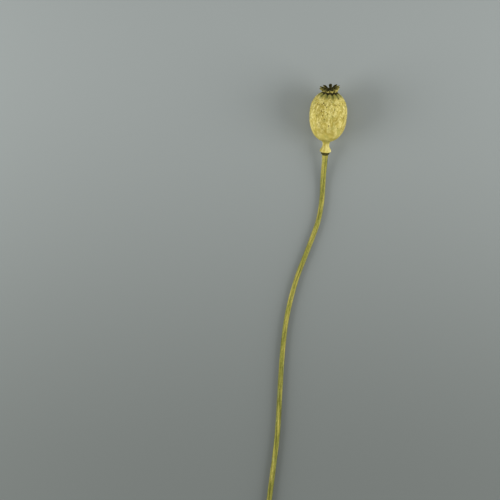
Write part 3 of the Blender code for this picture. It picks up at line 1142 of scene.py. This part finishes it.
@dataclass(frozen=True)
class Crown:
    """The disc on the capsule with its cupped rays."""

    rays: RayLayout
    seat_height: float
    top: CrownFace = CrownFace()
    back: CrownFace = CrownFace(
        inner=0.0,
        root_radius=7.6,
        notch_depth=1.5,
        middle_height=-0.25,
        rim_height=-0.25,
        root_height=0.2,
        tip_drop=0.55,
        radius_power=1.4,
        height_power=0.9,
        stalk_share=0.85,
        width_share=0.87,
    )
    disc_power: float = 1.5
    tip_radius: float = 10.45
    tip_height: float = 3.85
    tip_start: float = 0.64
    tip_rounding: float = 0.98
    upper_droop: float = 1.0
    tilt: float = math.radians(9.5)
    high_side: float = math.radians(28.0)
    half_width: float = 1.95
    cup: float = 0.85
    ridge_height: float = 0.35
    ridge_width: float = 0.42
    velvet_edge: Pair = (0.85, 0.55)
    creases: Grain = Grain(1.0 / 1.1, detail=3.0, depth=0.12)
    steps_across: int = 6
    steps_along: int = 10
    disc_rings: int = 5
    smoothing_levels: int = 2
    habit_limits: tuple[Pair, ...] = ((-0.35, 0.0), (0.88, 1.08), (-0.2, 0.2), (-0.22, 0.22))
    seed: int = 11
    kept: tuple[str, ...] = ("inner", "along", "margin", "offset")

    # Shares of the way along a ray, and below 0 those from the rim of the disc to its middle
    root: Pair = (0.0, 0.3)
    spoon: Pair = (0.15, 0.7)
    cupped: Pair = (0.0, 0.5)
    twisted: Pair = (0.2, 1.0)
    raised_tip: Pair = (0.7, 1.0)
    light_tip: Pair = (0.85, 1.0)
    ridge_start: Pair = (-0.95, -0.7)
    ridge_end: Pair = (0.95, 0.75)
    velvet_widening: Pair = (0.05, 0.45)

    finish: RayCrust = RayCrust()
    specks: Specks = Specks(
        "crown_grains",
        Slot.CROWN,
        Crumb("velvet grains", light=(0.060, 0.048, 0.014), dark=(0.014, 0.011, 0.003)),
        radius=0.11,
        flatness=0.8,
        spacing=0.22,
        density=9.0,
        seed=3,
        segments=6,
    )

    def habits(self) -> list[RayHabit]:
        """Draw each ray's own differences.

        Returns:
            One habit for each ray.
        """
        draw = np.random.default_rng(self.seed)
        habits = []
        for index, azimuth in enumerate(self.rays.azimuths):
            reach, width, rise, twist = (draw.uniform(*limits) for limits in self.habit_limits)
            droop = self.upper_droop * max(0.0, -math.sin(math.radians(azimuth)))
            habits.append(RayHabit(index, reach, width, rise - droop, twist))
        return habits

    def width_at(self, along: float, face: CrownFace) -> float:
        """Work out half the free width of a ray: a stalk, wider on its back, that ends in a rounded spoon.

        Args:
            along: From 0 at the root to 1 at the tip.
            face: Which face.

        Returns:
            Half the width.
        """
        spoon = face.stalk_share + (1.0 - face.stalk_share) * fade(*self.spoon, along)
        past_spoon = max(along - self.tip_start, 0.0) / (1.0 - self.tip_start)
        rounding = math.sqrt(1.0 - (self.tip_rounding * past_spoon) ** 2)
        return self.half_width * spoon * rounding * face.width_share

    def ray_point(self, across: float, along: float, face: CrownFace, habit: RayHabit) -> np.ndarray:
        """Place a point of a ray.

        Args:
            across: From -1 at one edge to 1 at the other.
            along: From 0 at the root to 1 at the tip.
            face: Which face.
            habit: The ray's own differences.

        Returns:
            The point, with its height above the crown's seat.
        """
        tip_radius = self.tip_radius + habit.reach
        tip_height = self.tip_height + habit.rise - face.tip_drop
        radius = face.root_radius + (tip_radius - face.root_radius) * along**face.radius_power
        height = face.root_height + (tip_height - face.root_height) * along**face.height_power
        middle = math.radians(self.rays.azimuths[habit.index])
        root_azimuth = self.rays.root_azimuth(habit.index, across)
        root = on_axis(radius - face.notch_depth * across**2, root_azimuth, height)
        sideways = on_axis(1.0, middle + math.pi / 2.0, 0.0)
        width = self.width_at(along, face) * habit.width
        free = on_axis(radius, middle, height) + sideways * across * width
        rim = max(across**2, float(fade(*self.raised_tip, along)))
        free[2] += self.cup * fade(*self.cupped, along) * rim
        free[2] += habit.twist * across * fade(*self.twisted, along)
        return root + (free - root) * fade(*self.root, along)

    def askew(self, point: np.ndarray) -> Vector:
        """Tilt a point with the disc.

        Args:
            point: A point above or on the crown's seat.

        Returns:
            The point, which stays where it is on the seat and moves fully from the disc's rim up.
        """
        here = Vector(point)
        axis = Vector(on_axis(1.0, self.high_side - math.pi / 2.0, 0.0))
        tilted = Matrix.Rotation(self.tilt, 3, axis) @ here
        return here.lerp(tilted, float(fade(0.0, self.top.rim_height, here.z)))

    def _steps(self) -> np.ndarray:
        """Places across a ray."""
        return np.linspace(-1.0, 1.0, self.steps_across + 1)

    def _new_point(self, mesh: BMesh, point: np.ndarray, *values: float) -> BMVert:
        """Add a point of the upright crown.

        Args:
            mesh: The crown's mesh.
            point: The point, not yet tilted.
            *values: What is kept at it.

        Returns:
            The new point.
        """
        vertex = mesh.verts.new(self.askew(point))
        for name, value in zip(self.kept, values):
            vertex[mesh.verts.layers.float[name]] = value
        return vertex

    def _disc(self, mesh: BMesh, face: CrownFace) -> Points:
        """Make one face of the disc.

        Args:
            mesh: The crown's mesh.
            face: Its top or its seat.

        Returns:
            The points of its rim.
        """
        places = [(index, across) for index in range(self.rays.count) for across in self._steps()[:-1]]
        rings = []
        for number in range(1, self.disc_rings + 1):
            share = number / self.disc_rings
            height = face.middle_height + (face.rim_height - face.middle_height) * share**self.disc_power
            ring = []
            for index, across in places:
                radius = (face.root_radius - face.notch_depth * across**2) * share
                point = on_axis(radius, self.rays.root_azimuth(index, across), height)
                offset = abs(across) * math.pi / self.rays.count * face.root_radius * share
                ring.append(self._new_point(mesh, point, face.inner, share - 1.0, across**2, offset))
            rings.append(ring)
        middle = self._new_point(mesh, on_axis(0.0, 0.0, face.middle_height), face.inner, -1.0, 0.0, 0.0)
        for number in range(len(places)):
            beside = (number + 1) % len(places)
            mesh.faces.new((rings[0][number], rings[0][beside], middle))
            for inside, outside in zip(rings, rings[1:]):
                mesh.faces.new((inside[number], outside[number], outside[beside], inside[beside]))
        return rings[-1]

    def _ray_face(self, mesh: BMesh, rim: Points, face: CrownFace, habit: RayHabit) -> list[Points]:
        """Grow one face of a ray from the disc's rim.

        Args:
            mesh: The crown's mesh.
            rim: The disc's rim on that face.
            face: Which face.
            habit: The ray's own differences.

        Returns:
            Its rows of points, root to tip.
        """
        first = habit.index * self.steps_across
        rows = [[rim[(first + step) % len(rim)] for step in range(self.steps_across + 1)]]
        for number in range(1, self.steps_along + 1):
            along = math.sin(0.5 * math.pi * number / self.steps_along)
            row = []
            for across in self._steps():
                point = self.ray_point(across, along, face, habit)
                margin = max(across**2, float(fade(*self.light_tip, along)))
                offset = abs(across) * self.width_at(along, face)
                row.append(self._new_point(mesh, point, face.inner, along, margin, offset))
            rows.append(row)
        for near, far in zip(rows, rows[1:]):
            for step in range(self.steps_across):
                mesh.faces.new((near[step], near[step + 1], far[step + 1], far[step]))
        return rows

    def _cage(self) -> BMesh:
        """Make the coarse closed crown that is then smoothed.

        Returns:
            The mesh, upright in millimetres, with its values.
        """
        mesh = bmesh.new()
        for name in self.kept:
            mesh.verts.layers.float.new(name)
        top_rim = self._disc(mesh, self.top)
        back_rim = self._disc(mesh, self.back)
        for habit in self.habits():
            top = self._ray_face(mesh, top_rim, self.top, habit)
            back = self._ray_face(mesh, back_rim, self.back, habit)
            for near, far, near_back, far_back in zip(top, top[1:], back, back[1:]):
                for edge in (0, self.steps_across):
                    mesh.faces.new((near[edge], far[edge], far_back[edge], near_back[edge]))
            for step in range(self.steps_across):
                mesh.faces.new((top[-1][step], top[-1][step + 1], back[-1][step + 1], back[-1][step]))
        bmesh.ops.translate(mesh, verts=mesh.verts, vec=(0.0, 0.0, self.seat_height))
        bmesh.ops.recalc_face_normals(mesh, faces=mesh.faces)
        return mesh

    def _relief_tree(self) -> ShapeTree:
        """Set up the fine relief: a ridge along each ray, creases on its back and fibres all over.

        Returns:
            The tree.
        """
        tree = ShapeTree("crown relief", self.finish.material())
        inner, along, offset = (tree.kept(name) for name in ("inner", "along", "offset"))
        from_ridge = offset / tree.size("Ridge Width", self.ridge_width)
        bulge = math.e ** (from_ridge * from_ridge * -1.0)
        lengthwise = tree.fade(*self.ridge_start, along) * tree.fade(*self.ridge_end, along)
        ridge = bulge * lengthwise * inner * tree.size("Ridge Height", self.ridge_height)
        upright = tree.kept("upright", "FLOAT_VECTOR")
        tree.raise_skin(ridge + tree.relief("Crease", upright, self.creases))
        widening = tree.fade(*self.velvet_widening, along) * 0.85
        velvet = tree.fade(*self.velvet_edge, offset - widening) * inner
        tree.keep("velvet", velvet)
        tree.keep("speckled", tree.fade(0.6, 0.95, velvet) * tree.fade(0.5, 0.9, inner))
        return tree

    def build(self, pose: HeadPose) -> Object:
        """Make the crown.

        Args:
            pose: How the head lies.

        Returns:
            The disc and its rays as one piece.
        """
        cage = self._cage()
        mesh = bpy.data.meshes.new("crown_rays")
        cage.to_mesh(mesh)
        cage.free()
        keep_values(mesh, {"upright": np.array([vertex.co for vertex in mesh.vertices])})
        mesh.transform(pose.matrix)
        mesh.shade_smooth()
        piece = add_object("crown_rays", mesh)
        smoothing = piece.modifiers.new("smoothing", "SUBSURF")
        smoothing.levels = self.smoothing_levels
        smoothing.render_levels = self.smoothing_levels
        self._relief_tree().apply(piece)
        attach(piece, "root")
        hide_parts("crown")
        return piece


@dataclass(frozen=True)
class Stem:
    """The cut stem: the scar ring under the flare, the stalk on the table and its cut end."""

    route: tuple[Pair, ...] = (
        (-2.1, -25.8), (-3.5, -48.8), (-6.8, -67.8), (-12.2, -83.8), (-19.9, -103.8),
        (-29.0, -127.8), (-37.2, -158.8), (-42.2, -192.8), (-45.2, -235.8), (-48.0, -281.8),
        (-53.0, -323.8), (-59.0, -368.8),
    )
    straight_start: float = 12.0
    samples: int = 60
    radius: float = 2.5
    top_swelling: float = 0.6
    top_reach: float = 30.0
    shoulder_swelling: float = 0.45
    shoulder_reach: float = 4.0
    foot_swelling: float = 0.3
    scar_radius: float = 4.4
    scar_length: float = 2.75
    scar_power: float = 3.0
    scar_rounding: float = 0.35
    gap: float = 0.05
    flutes: Grain = Grain(1.3, 0.03, depth=0.30)
    wrinkles: Grain = Grain(1.0 / 1.2, 0.4, detail=3.0, depth=0.10)
    bark_inset: float = 0.18
    sides: int = 96
    spacing: float = 0.9
    fine_spacing: float = 0.12
    fine_length: float = 4.5
    start_rings: tuple[float, ...] = (0.02, 0.4, 0.75)
    start_bulge: float = 0.01
    end_rings: tuple[float, ...] = (1.0, 0.985, 0.93, 0.82, 0.7, 0.5, 0.25, 0.02)
    end_bulge: float = 0.15
    speckled: Pair = (6.0, 20.0)
    sharp_angle: float = math.radians(60.0)
    finish: StemBark = StemBark()
    specks: Specks = Specks(
        "stem_specks",
        Slot.STEM,
        Crumb("bark specks", light=(0.105, 0.085, 0.022), dark=(0.040, 0.032, 0.010)),
        radius=0.22,
        flatness=0.35,
        spacing=1.6,
        density=0.06,
        seed=19,
    )

    def plan(self, top: Vector, heading: Vector) -> np.ndarray:
        """Run a smooth curve through the route's points.

        Args:
            top: Middle of the flare's foot, in millimetres.
            heading: The way the stem leaves it.

        Returns:
            Closely spaced points in plan.
        """
        start = (top.x, top.y)
        straight = (top.x + heading.x * self.straight_start, top.y + heading.y * self.straight_start)
        points = np.array([start, straight, *((top.x + x, top.y + y) for x, y in self.route)])
        ends = np.concatenate(([2.0 * points[0] - points[1]], points, [2.0 * points[-1] - points[-2]]))
        weights = 0.5 * np.array(((0, 2, 0, 0), (-1, 0, 1, 0), (2, -5, 4, -1), (-1, 3, -3, 1)))
        share = np.linspace(0.0, 1.0, self.samples, endpoint=False)[:, None]
        bends = [share ** np.arange(4) @ weights @ ends[number:][:4] for number in range(len(points) - 1)]
        return np.concatenate((*bends, points[-1:]))

    def radius_at(self, distance: np.ndarray, whole: float) -> np.ndarray:
        """Radius of the stalk.

        Args:
            distance: Distances from the flare's foot.
            whole: The stem's whole length.

        Returns:
            The radius at each distance, the scar ring included.
        """
        top = self.top_swelling * np.exp(-distance / self.top_reach)
        shoulder = self.shoulder_swelling * np.exp(-distance / self.shoulder_reach)
        stalk = self.radius + top + shoulder + self.foot_swelling * (distance / whole) ** 2
        middle = 0.5 * (self.gap + self.scar_length)
        half = 0.5 * (self.scar_length - self.gap)
        from_middle = np.minimum(np.abs(distance - middle) / half, 1.0)
        ring = self.scar_radius * (1.0 - from_middle**self.scar_power) ** (1.0 / self.scar_power)
        return smooth_max(stalk, ring, self.scar_rounding)

    def centre_line(self, pose: HeadPose) -> tuple[np.ndarray, dict[str, np.ndarray]]:
        """Work out the middle of the stem, ring by ring.

        Args:
            pose: How the head lies.

        Returns:
            Points in millimetres, and the values kept at them.
        """
        top = pose.matrix @ Vector((0.0, 0.0, 0.0)) / MM
        heading = (pose.rotation @ Vector((0.0, 0.0, -1.0))).normalized()
        plan = self.plan(top, heading)
        lengths = np.concatenate(([0.0], np.cumsum(np.hypot(*np.diff(plan, axis=0).T))))
        whole = float(lengths[-1])
        fine = np.arange(self.gap, self.fine_length, self.fine_spacing)
        coarse = np.arange(self.fine_length, whole - self.spacing, self.spacing)
        stops = np.concatenate((fine, coarse))
        end_share = np.array(self.end_rings)
        start_share = np.array(self.start_rings)
        starts = self.gap - self.start_bulge * (1.0 - start_share) - self.start_bulge
        distance = np.concatenate((starts, stops, whole - self.end_bulge * end_share**2))
        squeeze = np.concatenate((start_share, np.ones(len(stops)), end_share))
        landing = 2.0 * (top.z - self.radius) / math.tan(pose.tilt)
        still_up = np.clip(1.0 - distance / landing, 0.0, 1.0)
        rest = self.radius + self.foot_swelling * (distance / whole) ** 2
        height = rest + (top.z - self.radius) * still_up**2
        x, y = (np.interp(distance, lengths, plan[:, axis]) for axis in (0, 1))
        values = {
            "ring_radius": self.radius_at(distance, whole) * squeeze,
            "distance": distance,
            "cut_share": np.concatenate((np.ones(len(starts) + len(stops)), end_share)),
        }
        return np.stack((x, y, height), axis=-1), values

    def _sweep_tree(self) -> ShapeTree:
        """Set up the stalk: a ring swept along the centre line, then fluted and wrinkled.

        Returns:
            The tree.
        """
        tree = ShapeTree("stem sweep", self.finish.material())
        tree.change("GeometryNodeMeshToCurve")
        tree.change("GeometryNodeSetCurveNormal", {"mode": "Z_UP"})
        sides = tree.size("Sides", self.sides)
        ring = tree.read("Curve", "GeometryNodeCurvePrimitiveCircle", Resolution=sides, Radius=MM)
        sockets = {"Geometry": ring, "Name": "round", "Value": tree.place() * (1.0 / MM)}
        settings = {"data_type": "FLOAT_VECTOR"}
        profile = tree.read("Geometry", "GeometryNodeStoreNamedAttribute", settings, **sockets)
        radius = tree.kept("ring_radius")
        tree.change("GeometryNodeCurveToMesh", Profile_Curve=profile, Scale=radius, Fill_Caps=True)
        along = tree.join(0.0, 0.0, tree.kept("distance"))
        tree.keep("rolled", tree.kept("round", "FLOAT_VECTOR") * radius + along)
        rolled = tree.kept("rolled", "FLOAT_VECTOR")
        relief = tree.relief("Flute", rolled, self.flutes)
        relief = relief + tree.relief("Wrinkle", rolled, self.wrinkles)
        relief = relief - tree.size("Inset", self.bark_inset)
        tree.raise_skin(relief * tree.fade(0.5, 1.0, tree.kept("cut_share")))
        tree.rest_on_table()
        tree.change("GeometryNodeSetShadeSmooth")
        return tree

    def build(self, pose: HeadPose) -> Object:
        """Make the stem.

        Args:
            pose: How the head lies.

        Returns:
            The stem as one piece.
        """
        points, values = self.centre_line(pose)
        mesh = bpy.data.meshes.new("stem_line")
        edges = [(index, index + 1) for index in range(len(points) - 1)]
        mesh.from_pydata(points * MM, edges, [])
        values["speckled"] = fade(*self.speckled, values["distance"]) * fade(0.9, 1.0, values["cut_share"])
        keep_values(mesh, values)
        piece = add_object("stem_stalk", mesh)
        self._sweep_tree().apply(piece)
        piece.data.set_sharp_from_angle(angle=self.sharp_angle)
        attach(piece, "root")
        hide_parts("stem")
        return piece


# The studio


@dataclass(frozen=True)
class Softbox:
    """One large soft lamp that shines at a target on the table."""

    name: str
    place: tuple[float, float, float]
    target: tuple[float, float, float]
    width: float
    power: float

    def build(self) -> None:
        """Hang the lamp."""
        lamp = bpy.data.lights.new(self.name, "AREA")
        lamp.shape = "SQUARE"
        lamp.size = self.width
        lamp.energy = self.power
        holder = add_object(self.name, lamp)
        holder.location = self.place
        aim = Vector(self.target) - Vector(self.place)
        holder.rotation_euler = aim.to_track_quat("-Z", "Y").to_euler()


@dataclass(frozen=True)
class Studio:
    """Floor, light and camera. The photo's pixels are one millimetre on the head's level."""

    image_pixels: float = 500.0
    pixel_size: float = 0.001
    rest_pixel: Pair = (327.7, 121.8)
    head_level: float = 0.018
    camera_height: float = 6.0
    sensor_width: float = 36.0
    floor_size: float = 6.0
    dome_strength: float = 0.38
    dome_colour: Colour = (0.98, 1.0, 1.0)
    lamps: tuple[Softbox, ...] = (
        Softbox("left", (-1.10, -0.18, 0.50), (0.0, -0.05, 0.0), 0.8, 12.2),
        Softbox("right", (1.00, -0.18, 0.50), (0.0, -0.05, 0.0), 0.8, 11.5),
        Softbox("above", (-0.05, 0.3, 1.5), (-0.05, 0.0, 0.0), 0.9, 2.0),
    )
    finish: TablePaper = TablePaper()

    def build_floor(self) -> None:
        """Lay the floor."""
        half = 0.5 * self.floor_size
        corners = [(-half, -half, 0.0), (half, -half, 0.0), (half, half, 0.0), (-half, half, 0.0)]
        mesh = bpy.data.meshes.new("floor")
        mesh.from_pydata(corners, [], [(0, 1, 2, 3)])
        mesh.materials.append(self.finish.material())
        add_object("floor", mesh)

    def build_lights(self) -> None:
        """Hang the lamps and set the soft dome round them."""
        for lamp in self.lamps:
            lamp.build()
        world = bpy.data.worlds.new("dome")
        world.use_nodes = True
        background = world.node_tree.nodes["Background"]
        background.inputs["Color"].default_value = (*self.dome_colour, 1.0)
        background.inputs["Strength"].default_value = self.dome_strength
        bpy.context.scene.world = world
        bpy.context.scene.view_settings.view_transform = "Standard"

    def build_camera(self) -> None:
        """Hang the camera straight above the middle of the photo's frame."""
        half = 0.5 * self.image_pixels
        camera = bpy.data.cameras.new("camera")
        camera.sensor_width = self.sensor_width
        camera.lens = self.sensor_width * self.camera_height / (self.image_pixels * self.pixel_size)
        holder = add_object("camera", camera)
        holder.location = (
            (half - self.rest_pixel[0]) * self.pixel_size,
            (self.rest_pixel[1] - half) * self.pixel_size,
            self.head_level + self.camera_height,
        )
        bpy.context.scene.camera = holder


def report(piece: Object) -> None:
    """Log a finished piece's size.

    Args:
        piece: The piece.
    """
    piece.data.calc_loop_triangles()
    count = len(piece.data.loop_triangles)
    low, high = ((np.array(piece.bound_box[corner]) / MM).round(1) for corner in (0, 6))
    LOG.info("%s: %d triangles, %s to %s mm", piece.name, count, low, high)


def main() -> None:
    """Build and dress the head, then the studio round it."""
    logging.basicConfig(level=logging.INFO, format="%(name)s: %(message)s")
    rays = RayLayout()
    capsule = Capsule(rays)
    pose = HeadPose.to_fit(capsule.upright_points(), "capsule")
    crown = Crown(rays, seat_height=capsule.collar_height + capsule.crown_step)
    for part in (capsule, crown, Stem()):
        piece = part.build(pose)
        report(piece)
        report(part.specks.build(piece))
    studio = Studio()
    studio.build_floor()
    studio.build_lights()
    studio.build_camera()


if __name__ == "__main__":
    main()
